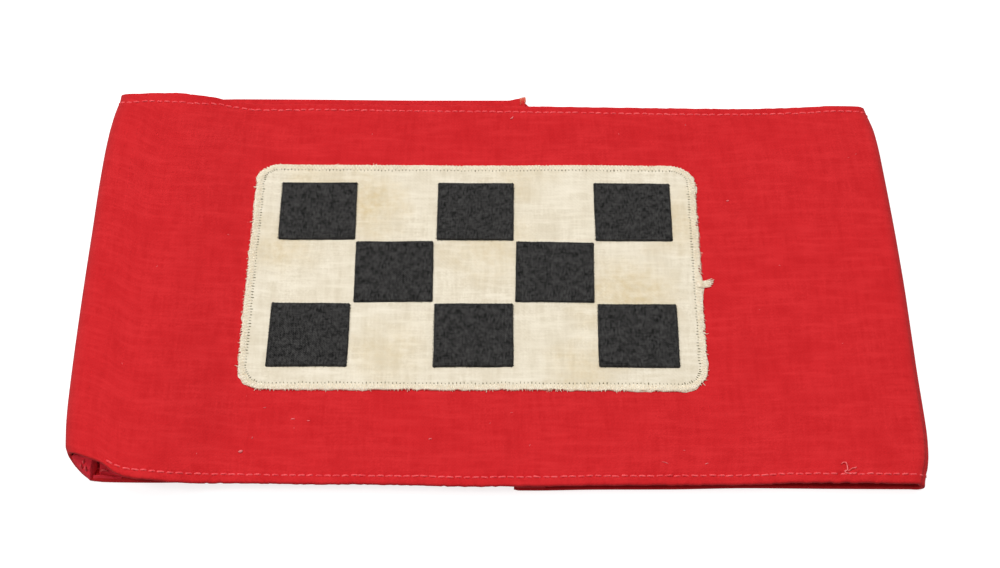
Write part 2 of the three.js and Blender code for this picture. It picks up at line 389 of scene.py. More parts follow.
def face_normals(place, share):
    """Unit normals that point out of the cloth's outer face."""
    # The step is short at the seam, so that its two ends meet
    step_p = np.minimum(0.004, 0.0004 + np.minimum(place, LAP - place))
    step_s = 0.002
    p0, p1 = np.clip(place - step_p, 0, LAP), np.clip(place + step_p, 0, LAP)
    s0, s1 = np.clip(share - step_s, 0, 1), np.clip(share + step_s, 0, 1)
    along = outer_face(p1, share) - outer_face(p0, share)
    across = outer_face(place, s1) - outer_face(place, s0)
    inward = np.cross(along, across)
    return -inward / np.linalg.norm(inward, axis=-1, keepdims=True)


# Mesh helpers

def mesh_object(name, points, faces, material, uv=None):
    """A smooth mesh object in metres from points in millimetres, with one material."""
    mesh = bpy.data.meshes.new(name)
    mesh.from_pydata((points * MM).tolist(), [], faces)
    if uv is not None:
        layer = mesh.uv_layers.new(name="cloth")
        loops = np.empty(len(mesh.loops), int)
        mesh.loops.foreach_get("vertex_index", loops)
        layer.data.foreach_set("uv", np.asarray(uv, np.float32)[loops].ravel())
    mesh.shade_smooth()
    mesh.materials.append(material)
    made = bpy.data.objects.new(name, mesh)
    bpy.context.scene.collection.objects.link(made)
    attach(made, "root")
    return made


def grid_faces(rows, columns, wrap_rows=False, first=0):
    """Quads over rows x columns points."""
    r = np.arange(rows if wrap_rows else rows - 1)
    c = np.arange(columns - 1)
    rr, cc = np.meshgrid(r, c, indexing="ij")
    a = rr * columns + cc
    d = ((rr + 1) % rows) * columns + cc
    return np.stack([a, a + 1, d + 1, d], -1).reshape(-1, 4) + first


def tubes(name, paths, radius, material, sides=5):
    """Closed tubes along paths, an array of threads x points x 3 in millimetres.

    radius is one value, or one for each point of a path, or one for each point of each path."""
    paths = np.asarray(paths, float)
    count, length = paths.shape[:2]
    tangent = np.gradient(paths, axis=1)
    tangent /= np.linalg.norm(tangent, axis=-1, keepdims=True) + 1e-9
    side = np.cross(tangent, [0.0, 0.0, 1.0])
    side /= np.linalg.norm(side, axis=-1, keepdims=True) + 1e-9
    lift = np.cross(side, tangent)
    angle = np.linspace(0, 2 * np.pi, sides, endpoint=False)
    reach = np.broadcast_to(np.asarray(radius, float), (count, length))[..., None, None]
    ring = side[:, :, None] * np.cos(angle)[:, None] + lift[:, :, None] * np.sin(angle)[:, None]
    points = (paths[:, :, None] + reach * ring).reshape(-1, 3)
    quads = []
    rings = np.arange(length - 1) * sides
    for s in range(sides):
        a, b = rings + s, rings + (s + 1) % sides
        quads.append(np.stack([a, b, b + sides, a + sides], -1))
    offsets = np.arange(count) * length * sides
    faces = (np.concatenate(quads)[None] + offsets[:, None, None]).reshape(-1, 4).tolist()
    caps = [list(range(sides))[::-1], list(range((length - 1) * sides, length * sides))]
    for offset in offsets.tolist():
        faces.extend([[i + offset for i in cap] for cap in caps])
    return mesh_object(name, points, faces, material)


# Materials

THREAD_RELIEF = 0.12 * MM
TWILL_RIB = 0.6


class Nodes:
    """Short calls for building a node tree."""

    def __init__(self, name):
        self.material = bpy.data.materials.new(name)
        self.material.use_nodes = True
        self.tree = self.material.node_tree
        self.shader = self.tree.nodes["Principled BSDF"]

    def add(self, kind, inputs=None, **settings):
        node = self.tree.nodes.new(kind)
        for key, value in settings.items():
            setattr(node, key, value)
        for key, value in (inputs or {}).items():
            if isinstance(value, bpy.types.NodeSocket):
                self.tree.links.new(value, node.inputs[key])
            else:
                node.inputs[key].default_value = value
        return node

    def math(self, operation, a, b=0.0):
        return self.add("ShaderNodeMath", {0: a, 1: b}, operation=operation).outputs[0]

    def weighted(self, first, share, second, other_share):
        """The sum of two values, each times its own share."""
        parts = self.math("MULTIPLY", first, share), self.math("MULTIPLY", second, other_share)
        return self.math("ADD", *parts)

    def noise(self, vector, scale, detail=2.0, roughness=0.5):
        inputs = {"Vector": vector, "Scale": scale, "Detail": detail, "Roughness": roughness}
        return self.add("ShaderNodeTexNoise", inputs).outputs["Fac"]

    def streaks(self, vector, scale_x, scale_y):
        """Noise that is drawn out along one thread direction."""
        inputs = {"Vector": vector, "Scale": (scale_x, scale_y, 1.0)}
        return self.noise(self.add("ShaderNodeMapping", inputs).outputs[0], 1.0, 2.0, 0.6)

    def ramp(self, factor, low, high, from_low=0.0, from_high=1.0):
        inputs = {0: factor, 1: from_low, 2: from_high, 3: low, 4: high}
        return self.add("ShaderNodeMapRange", inputs).outputs[0]

    def mix(self, factor, first, second):
        return self.add("ShaderNodeMix", {0: factor, 6: first, 7: second}, data_type="RGBA").outputs[2]

    def link(self, output, socket):
        self.tree.links.new(output, self.shader.inputs[socket])

    def set(self, values):
        for socket, value in values.items():
            self.shader.inputs[socket].default_value = value

    def bumps(self, height, strength):
        """Bumps of the cloth's threads."""
        bump = self.add("ShaderNodeBump", {"Height": height, "Strength": strength, "Distance": THREAD_RELIEF})
        self.link(bump.outputs[0], "Normal")


def linear(red, green, blue):
    """A display colour from 0 to 255 as a linear one."""
    def channel(value):
        c = value / 255
        return c / 12.92 if c <= 0.04045 else ((c + 0.055) / 1.055) ** 2.4

    return (channel(red), channel(green), channel(blue), 1.0)


def weave_height(n, uv, thread):
    """Height of a plain weave with threads of the given width, in millimetres, under uv in millimetres."""
    parts = n.add("ShaderNodeSeparateXYZ", {0: uv}).outputs
    wave_u = n.math("SINE", n.math("MULTIPLY", parts[0], math.pi / thread))
    wave_v = n.math("SINE", n.math("MULTIPLY", parts[1], math.pi / thread))
    return n.math("MULTIPLY", wave_u, wave_v)


def cotton(name, base, dark, light, thread=0.45, stain=None):
    """Plain-woven cotton: fine threads, slubs along both directions, soft mottling and a little sheen."""
    n = Nodes(name)
    uv = n.add("ShaderNodeUVMap", uv_map="cloth").outputs[0]
    warp = n.streaks(uv, 1.9, 0.11)
    weft = n.streaks(uv, 0.11, 1.9)
    grain = n.noise(uv, 1.5, 3.0, 0.7)
    mottle = n.noise(uv, 0.055, 3.0, 0.55)
    tone = n.weighted(n.weighted(warp, 0.5, weft, 0.5), 0.5, grain, 0.5)
    colour = n.mix(n.ramp(tone, 0.0, 1.0, 0.36, 0.64), dark, light)
    colour = n.mix(n.ramp(mottle, 0.75, 0.0, 0.35, 0.6), colour, base)
    slub_along = n.streaks(uv, 0.55, 0.10)
    slub_across = n.streaks(uv, 0.10, 0.55)
    colour = n.mix(n.ramp(slub_along, 0.0, 0.7, 0.45, 0.68), colour, dark)
    colour = n.mix(n.ramp(slub_across, 0.0, 0.7, 0.45, 0.68), colour, light)
    colour = n.mix(n.ramp(n.noise(uv, 0.12, 2.0, 0.5), 0.0, 0.45, 0.45, 0.68), colour, dark)
    if stain is not None:
        colour = stain(n, uv, colour)
    n.bumps(n.weighted(weave_height(n, uv, thread), 0.35, tone, 1.4), 0.35)
    n.link(colour, "Base Color")
    n.set({"Roughness": 0.92, "Specular IOR Level": 0.1, "Sheen Weight": 0.04, "Sheen Roughness": 0.5})
    return n.material


def cream_stains(n, uv, colour):
    """Yellow-brown blotches with soft edges, strongest at the upper left and along the lower right."""
    parts = n.add("ShaderNodeSeparateXYZ", {0: uv}).outputs
    wander = n.ramp(n.noise(uv, 0.11, 3.0, 0.6), -9.0, 9.0)
    wander_y = n.ramp(n.noise(uv, 0.13, 3.0, 0.6), -8.0, 8.0)
    streak = n.ramp(n.noise(uv, 0.55, 4.0, 0.65), 0.4, 1.1, 0.35, 0.65)
    for x, y, radius, strength in STAINS:
        dx = n.math("ADD", n.math("SUBTRACT", parts[0], x), wander)
        dy = n.math("ADD", n.math("SUBTRACT", parts[1], y), wander_y)
        far = n.math("SQRT", n.weighted(dx, dx, dy, dy))
        here = n.math("MULTIPLY", streak, n.ramp(far, strength, 0.0, radius * 0.2, radius))
        colour = n.mix(here, colour, STAIN_COLOUR)
    return colour


# Stains on the panel: place from the panel's middle, radius and strength
STAINS = [
    (-27.0, 21.0, 13.0, 0.62),
    (-46.0, 8.0, 11.0, 0.42),
    (-40.0, 30.0, 10.0, 0.35),
    (36.0, -8.0, 15.0, 0.55),
    (26.0, -29.0, 11.0, 0.42),
    (48.0, 16.0, 12.0, 0.45),
    (3.0, 9.0, 14.0, 0.36),
    (-20.0, -24.0, 12.0, 0.3),
    (10.0, 30.0, 10.0, 0.3),
]
STAIN_COLOUR = linear(206, 182, 132)

RED = cotton("red_cotton", linear(201, 33, 38), linear(190, 27, 32), linear(209, 42, 46))
# A lighter, pinker copy of the red cloth: painted light on the tucked hem and on the hem in the mouth, which
# lie in shade
PAINTED_LIGHT_RED = cotton("painted_light_red_cotton", linear(230, 48, 62), linear(218, 40, 54), linear(242, 62, 76))
CREAM = cotton(
    "cream_cotton", linear(227, 217, 196), linear(212, 200, 176), linear(238, 229, 210), 0.5, cream_stains
)


def twill():
    """Black cotton twill: fine diagonal ribs with a trace of brown wear."""
    n = Nodes("black_twill")
    uv = n.add("ShaderNodeUVMap", uv_map="cloth").outputs[0]
    parts = n.add("ShaderNodeSeparateXYZ", {0: uv}).outputs
    diagonal = n.math("ADD", parts[0], parts[1])
    rib = n.math("SINE", n.math("MULTIPLY", diagonal, 2 * math.pi / TWILL_RIB))
    down = n.streaks(uv, 2.6, 0.7)
    over = n.streaks(uv, 0.7, 2.6)
    grain = n.weighted(down, 0.6, over, 0.4)
    mottle = n.noise(uv, 0.45, 3.0, 0.6)
    tone = n.math("ADD", n.math("MULTIPLY", rib, 0.03), n.weighted(grain, 0.72, mottle, 0.28))
    colour = n.mix(n.ramp(tone, 0.0, 1.0, 0.4, 0.6), linear(12, 12, 12), linear(66, 65, 64))
    fleck = n.noise(uv, 3.0, 1.0, 0.5)
    colour = n.mix(n.ramp(fleck, 0.0, 0.7, 0.68, 0.77), colour, linear(98, 94, 92))
    n.bumps(n.weighted(rib, 0.3, grain, 0.9), 0.4)
    n.link(colour, "Base Color")
    n.set({"Roughness": 0.9, "Specular IOR Level": 0.1, "Sheen Weight": 0.05})
    return n.material


def thread_material(name, dark, light):
    """Spun thread, a little uneven in colour along its length."""
    n = Nodes(name)
    place = n.add("ShaderNodeTexCoord").outputs["Object"]
    tone = n.noise(place, 900.0, 2.0, 0.6)
    n.link(n.mix(n.ramp(tone, 0.0, 1.0, 0.35, 0.65), linear(*dark), linear(*light)), "Base Color")
    n.set({"Roughness": 0.8, "Specular IOR Level": 0.2})
    return n.material


BLACK = twill()
PINK_THREAD = thread_material("pink_thread", (228, 64, 71), (246, 96, 100))
LOOSE_THREAD = thread_material("loose_thread", (232, 92, 94), (248, 134, 134))
CREAM_THREAD = thread_material("cream_thread", (234, 219, 193), (248, 238, 217))
DARK_THREAD = thread_material("dark_thread", (22, 22, 19), (44, 43, 36))
HOLE_SHADE = thread_material("needle_hole_shade", (96, 90, 66), (160, 152, 126))
FRAYED_YARN = thread_material("frayed_yarn", (206, 84, 66), (226, 120, 96))
LINT = thread_material("pale_lint", (216, 92, 96), (232, 126, 128))


# The band

# Distances from a rim of the profile's points beside it
NEAR_RIM = [0.9, 1.3, 1.7, 2.0, 2.25, 2.5, 2.8, 3.1, 3.4, 3.9, 4.4, 4.9, 5.4, 6.2, 7.6, 9.4, 12.4]


def wall_thickness(dist):
    return CLOTH + (HEM_CLOTH - CLOTH) * smooth((HEM_WIDTH + 0.5 - dist) / 0.5)


def band_grid():
    """Places round the loop, closer together at the seam, and the rows of the closed profile.

    Each row says which rim it is measured from and how far it is from it, or its share of the middle, and how
    deep it lies below the face, which is None for the inner face."""
    legs = []
    for leg, steps in enumerate(LEG_STEPS):
        t = np.arange(steps) / steps
        legs.append(leg + {0: t ** 1.7, LAP - 1: 1 - (1 - t) ** 1.7}.get(leg, t))
    places = np.concatenate(legs + [[LAP]])
    round_off = [(HEM_CLOTH / 2 * (1 - math.cos(a)), HEM_CLOTH / 2 * (1 - math.sin(a)))
                 for a in np.linspace(0, math.pi / 2, 4)]
    middle = np.linspace(0, 1, 64)[1:-1]
    rows = [("bottom", d, depth) for d, depth in round_off]
    rows += [("bottom", d, 0.0) for d in NEAR_RIM]
    rows += [("middle", m, 0.0) for m in middle]
    rows += [("top", d, 0.0) for d in reversed(NEAR_RIM)]
    rows += [("top", d, depth) for d, depth in reversed(round_off)]
    rows += [("top", d, HEM_CLOTH - depth) for d, depth in round_off[1:]]
    rows += [("top", d, None) for d in NEAR_RIM]
    rows += [("middle", m, None) for m in reversed(middle[::2])]
    rows += [("bottom", d, None) for d in reversed(NEAR_RIM)]
    rows += [("bottom", d, HEM_CLOTH - depth) for d, depth in reversed(round_off[1:])]
    return places, rows


def band_points():
    places, rows = band_grid()
    width = width_at(places)
    points, uv = [], []
    edge = NEAR_RIM[-1] / width
    for kind, value, depth in rows:
        if kind == "bottom":
            share = value / width
        elif kind == "top":
            share = 1 - value / width
        else:
            share = edge + value * (1 - 2 * edge)
        dist = np.minimum(share, 1 - share) * width
        deep = wall_thickness(dist) if depth is None else depth
        face = outer_face(places, share)
        points.append(face - face_normals(places, share) * np.broadcast_to(deep, share.shape)[:, None])
        uv.append(np.stack([run_of(places), share * width], -1))
    return np.array(points), np.array(uv)


def band():
    points, uv = band_points()
    rows, columns = points.shape[:2]
    faces = grid_faces(rows, columns, wrap_rows=True)[:, ::-1].tolist()
    faces.append([r * columns for r in range(rows)])
    faces.append([r * columns + columns - 1 for r in reversed(range(rows))])
    made = mesh_object("band_cloth", points.reshape(-1, 3), faces, RED, uv.reshape(-1, 2))
    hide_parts("band")
    return made


# Stitches

def stitch_paths(run, share, slant, length, rise, into):
    """Short threads that come out of the cloth, lie on it and go back in.

    rise is above the outer face. into is -1 for threads on the outer face, 1 for those on the inner one."""
    paths = []
    for reach, depth in ((-0.5, 0.32), (-0.42, 0.08), (-0.2, 0.0), (0.2, 0.0), (0.42, 0.08), (0.5, 0.32)):
        place = place_at(run + reach * length)
        at = share + slant * reach * length
        paths.append(outer_face(place, at) + face_normals(place, at) * (rise + into * depth)[:, None])
    return np.stack(paths, 1)


def hem_stitches(rng, rim, inside):
    """The stitches of one hem all round the loop, on its outer or its inner face."""
    start = SEAM_ALLOWANCE + 0.8 if inside else 1.2
    count = int((FULL_RUN - 2 * start) / STITCH_PITCH)
    run = start + (np.arange(count) + 0.5) * STITCH_PITCH + rng.uniform(-0.14, 0.14, count)
    if rim == "bottom" and not inside:
        at = place_at(run)
        run = run[(at < MISSING_STITCHES[0]) | (at > MISSING_STITCHES[1])]
        count = len(run)
    place = place_at(run)
    dist = stitch_distance(rim, place) + rng.uniform(-0.09, 0.09, count) + 0.12 * field(run, 0 * run, 40, 9)
    share = dist / width_at(place)
    share = share if rim == "bottom" else 1 - share
    on_front = (place > 2) & (place < 3)
    rise = np.full(count, -HEM_CLOTH - 0.09) if inside else np.where(on_front, 0.12, -0.04)
    slant = rng.uniform(-0.0009, 0.0009, count)
    return stitch_paths(run, share, slant, rng.uniform(1.2, 1.55, count), rise, 1 if inside else -1)


def all_hem_stitches():
    rng = np.random.default_rng(RANDOM_SEED)
    paths = [hem_stitches(rng, rim, inside) for rim in ("bottom", "top") for inside in (False, True)]
    return tubes("hem_stitches", np.concatenate(paths), HEM_THREAD, PINK_THREAD, sides=6)


# The corner that is tucked in under the front, by the left fold's lower rim

# Left to right: the line where the tucked hem comes out from under the front, and its outline on the table
TUCK_TOP = [
    (-92.5, -52.0, 3.6), (-91.4, -52.6, 3.9), (-90.0, -53.1, 4.2), (-88.6, -53.6, 4.5), (-87.2, -54.2, 4.5),
]
TUCK_FOOT = [
    (-93.0, -52.2, 3.2), (-92.2, -53.4, 2.2), (-90.8, -54.9, 1.4), (-89.2, -56.4, 0.9), (-87.8, -57.7, 0.5),
]

# The height of the crumpled hem in the mouth beside it, from the rim inwards
PLEAT = table(
    "y z",
    (-56.7, 0.4), (-56.5, 1.15), (-56.1, 1.55), (-55.75, 0.55),
    (-55.35, 1.9), (-54.6, 2.8), (-53.7, 3.4), (-52.5, 3.7),
)
PLEAT_LEFT, PLEAT_RIGHT = -87.9, -81.6
TUCK_BULGE = 0.8
TUCK_DENT = 0.35


def along_points(points, share):
    """Places along a row of points, for shares from 0 to 1."""
    keys = np.linspace(0, 1, len(points))
    rows = table("key x y z", *[(key, *point) for key, point in zip(keys, points)])
    return np.stack([table_curve(rows, "key", axis)(share) for axis in "xyz"], -1)


def tuck_face(s, t):
    """The tucked hem's outer face: s runs from the fold to the crease, t from the front down to the table."""
    head, foot = along_points(TUCK_TOP, s), along_points(TUCK_FOOT, s)
    down = np.clip(t, 0, 1)
    face = head * (1 - down)[..., None] + foot * down[..., None]
    bulge = TUCK_BULGE * np.sin(np.pi * down) * smooth(s / 0.25)
    dent = TUCK_DENT * bell(t - 0.6, 0.1) * smooth((s - 0.2) / 0.2)
    outward = bulge - dent
    under = np.clip(-t, 0, 1)
    fold_in = smooth((s - 0.86) / 0.14)
    face[..., 0] += -0.35 * outward + 0.5 * fold_in
    face[..., 1] += -0.65 * outward + 6.0 * under + 3.0 * fold_in
    face[..., 2] += 0.55 * outward + 1.2 * under - 0.5 * fold_in
    return face


def corner_tuck():
    """A closed flap of hem: its face, turned under at the foot, and the same again one cloth deeper."""
    s, t = np.meshgrid(np.linspace(0, 1, 34), np.linspace(-0.3, 1, 30))
    face = tuck_face(s, t)
    foot = face[-1]
    turn = [foot + np.array([0.05, 0.2, -0.25]), foot + np.array([0.25, 0.6, -0.3])]
    inside = face[::-1] + np.array([0.3, 0.6, -0.35])
    points = np.concatenate([face, np.array(turn), inside])
    rows, columns = points.shape[:2]
    faces = grid_faces(rows, columns, wrap_rows=True).tolist()
    faces.append([r * columns for r in reversed(range(rows))])
    faces.append([r * columns + columns - 1 for r in range(rows)])
    uv = np.stack(np.meshgrid(np.linspace(0, 9, columns), np.linspace(0, 16, rows)), -1).reshape(-1, 2)
    # In the lighter red copy: painted light on the shaded flap
    return mesh_object("corner_tuck", points.reshape(-1, 3), faces, PAINTED_LIGHT_RED, uv)


def pleat_height(x, y):
    crumple = table_curve(PLEAT, "y", "z")(y + 0.25 * field(x, 0 * x, 2.2, 14))
    by_tuck = smooth((-86.4 - x) / 0.6) * smooth((y + 55.8) / 0.3)
    crumple = crumple - (crumple - 0.4) * by_tuck
    fade = smooth((PLEAT_RIGHT - 0.3 - x) / 4.2)
    return (HEM_CLOTH + 0.05) * (1 - fade) + crumple * fade


def mouth_pleat():
    """The crumpled inner hem that shows in the open mouth."""
    across = np.linspace(PLEAT[0]["y"], PLEAT[-1]["y"], 44)
    x, y = np.meshgrid(np.linspace(PLEAT_LEFT, PLEAT_RIGHT, 40), across)
    top = pleat_height(x, y) + 0.05 * field(x, y, 0.9, 15)
    # In the lighter red copy: painted light on the shaded hem in the mouth
    return layer_object("mouth_pleat", x, y, top, np.minimum(top - 0.3, 0.4), (0, 0), PAINTED_LIGHT_RED)


def tuck_stitches():
    """One stitch on the crumpled hem, and three on the tucked one."""
    along = np.linspace(-0.95, 0.95, 5)
    x, y = -85.6 + along * 0.8, np.full(5, -55.15)
    paths = [np.stack([x, y, pleat_height(x, y) + np.array([-0.1, 0.2, 0.26, 0.2, -0.1])], -1)]
    lift = [-0.1, 0.34, 0.46, 0.34, -0.1]
    steps = np.array([-1, -0.8, 0, 0.8, 1])
    for s, t, reach in ((0.58, 0.22, 0.06), (0.53, 0.54, 0.12), (0.7, 0.52, 0.12)):
        face = tuck_face(s + 0.01 * steps, t + reach * steps)
        paths.append(face + np.outer(lift, [-0.2, -0.7, 0.65]))
    return tubes("tuck_stitches", paths, TUCK_THREAD, PINK_THREAD, sides=6)


# The back seam

def seam_allowances():
    """The two seam allowances pressed open inside the back."""
    share = np.linspace(0.002, 0.972, 70)[:, None]
    reach = np.array([0.25, 0.7, 1.5, 2.5, 3.5, 4.5, 5.5, 6.3, 6.8, SEAM_ALLOWANCE])[None]
    reach = reach + 0.15 * field(share * 2 * NOMINAL_RIM, 0 * share, 3, 12) * smooth((reach - 5.5) / 1.5)
    made = []
    for name, run in (("seam_allowance_left", (FULL_RUN - reach)[:, ::-1]), ("seam_allowance_right", reach)):
        face = outer_face(place_at(run), np.broadcast_to(share, run.shape))
        x, y = face[..., 0], face[..., 1]
        dist = np.minimum(share, 1 - share) * FULL_WIDTH
        low = face[..., 2] + wall_thickness(dist) + 0.08 + 0.05 * field(x, y, 4, 13)
        made.append(layer_object(name, x, y, low + SEAM_CLOTH, low, (0, 0), RED))
    return made


def seam_fray():
    """Loose yarn ends where the seam's far corner stands up."""
    rng = np.random.default_rng(RANDOM_SEED + 12)
    paths = []
    steps = np.linspace(0, 1, 8)
    for _ in range(22):
        along = rng.uniform(-1.5, 0.05)
        start = rng.uniform(-2.6, -0.8)
        lean = rng.uniform(-0.35, 0.15) * steps ** 2
        y_off = start + (rng.uniform(-0.25, 0.05) - start) * steps
        share = 1 + np.minimum(y_off, 0) / FULL_WIDTH
        run = FULL_RUN + np.minimum(along + lean, -0.05)
        on_cloth = outer_face(place_at(run), share)
        rise = HEM_CLOTH + 0.06 - 0.5 * smooth(y_off / 0.4)
        x = on_cloth[:, 0] + np.maximum(along + lean, -0.05) + 0.05
        paths.append(np.stack([x, on_cloth[:, 1] + np.maximum(y_off, 0), on_cloth[:, 2] + rise], -1))
    return tubes("seam_fray", paths, np.linspace(0.11, 0.06, 8), FRAYED_YARN)


# Loose thread and lint

def loose_thread():
    """A curled end of sewing thread by the near hem."""
    routes = [
        [(76.5, -54.6), (76.9, -54.1), (77.4, -54.3), (77.65, -55.3), (77.65, -56.3), (77.0, -56.6),
         (77.3, -57.0), (78.2, -57.2), (79.5, -57.0)],
        [(77.7, -56.5), (78.1, -56.3), (78.7, -56.0), (79.2, -55.8), (79.6, -55.6)],
    ]
    paths = []
    for route in routes:
        x, y = np.array(route).T
        rise = np.full(len(x), 0.2)
        rise[2:-2] += 0.25
        paths.append(along_points(above_front(x, y, rise), np.linspace(0, 1, 32)))
    return tubes("loose_thread", paths, LOOSE_END, LOOSE_THREAD, sides=6)


# Lint on the cloth: place on the front, length, direction in degrees and thickness
LINT_PLACES = [
    (4.0, 51.0, 1.0, 50, 0.20), (56.5, 24.3, 0.8, 20, 0.15), (-55.7, -51.0, 1.0, 25, 0.32),
    (-13.9, -47.3, 0.8, 10, 0.13), (-53.4, -46.9, 0.6, 80, 0.12), (-44.8, -41.7, 0.9, 5, 0.14),
    (-41.3, -42.0, 0.7, 0, 0.10), (-51.4, -38.5, 0.7, 15, 0.11), (8.3, -48.8, 0.6, 60, 0.10),
    (47.1, -54.0, 0.9, 25, 0.10), (37.9, -53.8, 1.6, -20, 0.09),
]


def lint():
    """Short pale fibres: those that the photograph shows, and a few finer ones."""
    rng = np.random.default_rng(RANDOM_SEED + 9)
    finer = [(rng.uniform(-88, 90), rng.uniform(-55, 52), rng.uniform(0.3, 0.7), rng.uniform(0, 180), 0.05)
             for _ in range(24)]
    half_x, half_y = PANEL_WIDTH / 2 + 1, PANEL_HEIGHT / 2 + 1
    finer = [f for f in finer if abs(f[0] - PANEL_X) > half_x or abs(f[1] - PANEL_Y) > half_y]
    paths, radii = [], []
    for x, y, length, degrees, thick in LINT_PLACES + finer:
        c, s = math.cos(math.radians(degrees)), math.sin(math.radians(degrees))
        steps = np.linspace(-0.5, 0.5, 6) * length
        bend = rng.uniform(-0.2, 0.2) * length * (1 - (steps / length * 2) ** 2)
        paths.append(above_front(x + c * steps - s * bend, y + s * steps + c * bend, thick * 0.5))
        radii.append(thick * np.array([0.35, 0.8, 1.0, 1.0, 0.8, 0.35]))
    return tubes("lint", paths, radii, LINT)


# The panel

def above_front(x, y, rise):
    """Points on the front, or a little above it."""
    return np.stack([x, y, front_face(x, y) + rise], -1)


def front_face(x, y):
    """Height of the front at x and y, with its relief."""
    share = (y + RIM_MIDDLE + 57.4) / 115.2  # a first guess, as if both rims were straight
    for _ in range(2):
        place = front_place(x, share)
        share = (y + RIM_MIDDLE - rim_bottom(place)) / width_at(place)
    return outer_face(place, share)[..., 2]


def edge_distance(x, y):
    """Distance from the rounded edge of the panel, inwards."""
    dx = np.abs(x) - (PANEL_WIDTH / 2 - PANEL_CORNER)
    dy = np.abs(y) - (PANEL_HEIGHT / 2 - PANEL_CORNER)
    outside = np.hypot(np.maximum(dx, 0), np.maximum(dy, 0)) + np.minimum(np.maximum(dx, dy), 0)
    return PANEL_CORNER - outside


def panel_face(x, y):
    """Height of the panel's upper face. x and y are from its middle."""
    edge = edge_distance(x, y)
    base = front_face(PANEL_X + x, PANEL_Y + y) + PANEL_LIFT
    puff = 0.05 * smooth((edge - 2.0) / 3.5) + 0.09 * field(x, y, 9, 21) * smooth((edge - 2.5) / 6)
    groove = -0.08 * bell(edge - BORDER_WIDTH, 0.3)
    pucker = 0.05 * field(x, y, 1.4, 22) * smooth((3.2 - edge) / 1.5)
    return base + PANEL_CLOTH * smooth((edge + 0.3) / 0.5) + puff + groove + pucker


def spaced(half):
    """Positions from -half to half, closer together near the ends."""
    ends = np.array([0.0, 0.15, 0.35, 0.7, 1.1, 1.4, 1.6, 1.8, 2.1, 2.6, 3.4])
    middle = half - 4.5
    inner = np.linspace(-middle, middle, round(middle * 2 / PANEL_STEP) + 1)
    return np.concatenate([-half + ends, inner, half - ends[::-1]])


def round_corners(x, y, half_x, half_y, corner):
    """Maps a rectangle's grid onto one with rounded corners."""
    s = np.clip((np.abs(x) - (half_x - corner)) / corner, 0, 1)
    t = np.clip((np.abs(y) - (half_y - corner)) / corner, 0, 1)
    both = (s > 0) & (t > 0)
    new_x = np.where(both, half_x - corner + corner * s * np.sqrt(1 - t * t / 2), np.abs(x))
    new_y = np.where(both, half_y - corner + corner * t * np.sqrt(1 - s * s / 2), np.abs(y))
    return np.sign(x) * new_x, np.sign(y) * new_y


def layer_object(name, x, y, top, bottom, centre, material):
    """A closed layer of cloth over a grid: an upper and a lower face, joined at the edge."""
    rows, columns = x.shape
    upper = np.stack([centre[0] + x, centre[1] + y, top], -1).reshape(-1, 3)
    lower = np.stack([centre[0] + x, centre[1] + y, bottom], -1).reshape(-1, 3)
    uv = np.stack([x, y], -1).reshape(-1, 2)
    faces = np.concatenate([grid_faces(rows, columns), grid_faces(rows, columns, first=len(upper))[:, ::-1]])
    edge = list(range(columns)) + [r * columns + columns - 1 for r in range(1, rows)]
    edge += [(rows - 1) * columns + c for c in range(columns - 2, -1, -1)]
    edge += [r * columns for r in range(rows - 2, 0, -1)]
    turned = edge[1:] + edge[:1]
    sides = [[a, a + len(upper), b + len(upper), b] for a, b in zip(edge, turned)]
    faces = faces.tolist() + sides
    return mesh_object(name, np.concatenate([upper, lower]), faces, material, np.concatenate([uv, uv]))


def panel():
    """The panel's cloth, with an edge that is most ragged at the upper right."""
    half_x, half_y = PANEL_WIDTH / 2, PANEL_HEIGHT / 2
    gx, gy = np.meshgrid(spaced(half_x), spaced(half_y))
    x, y = round_corners(gx, gy, half_x, half_y, PANEL_CORNER)
    more = 1 + 0.5 * smooth((x - half_x + 3) / 2) * smooth((y + 6) / 3)
    ragged = more * (0.24 * field(x, y, 1.5, 31) + 0.18 * field(x, y, 5, 32))
    near = smooth((1.2 - edge_distance(x, y)) / 1.2)
    grow = 1 + near * ragged / half_y
    x, y = x * grow, y * grow
    top = panel_face(x, y)
    bottom = front_face(PANEL_X + x, PANEL_Y + y) + 0.05
    made = layer_object("panel_cloth", x, y, top, bottom, (PANEL_X, PANEL_Y), CREAM)
    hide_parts("panel")
    return made


def rounded_outline(distance, inset):
    """Points and inward directions along the panel's edge, at distances along it from its lower left."""
    x, y = STRAIGHT_X / 2, STRAIGHT_Y / 2
    sides = [(STRAIGHT_X, x, -y), (STRAIGHT_Y, x, y), (STRAIGHT_X, -x, y), (STRAIGHT_Y, -x, -y)]
    points, inward = [], []
    for left in np.asarray(distance) % EDGE_LENGTH:
        quarter = 0
        while quarter < 3 and left > sides[quarter][0] + CORNER_ARC:
            left -= sides[quarter][0] + CORNER_ARC
            quarter += 1
        straight, corner_x, corner_y = sides[quarter]
        angle = (quarter - 1) * math.pi / 2 + max(left - straight, 0) / PANEL_CORNER
        out = np.array([math.cos(angle), math.sin(angle)])
        back = np.array([out[1], -out[0]]) * max(straight - left, 0)
        points.append(np.array([corner_x, corner_y]) + back + out * (PANEL_CORNER - inset))
        inward.append(-out)
    return np.array(points), np.array(inward)


def on_panel(spot, rise):
    """Points on the panel, in the part's frame, from places about its middle."""
    z = panel_face(spot[..., 0], spot[..., 1]) + rise
    return np.stack([PANEL_X + spot[..., 0], PANEL_Y + spot[..., 1], z], -1)


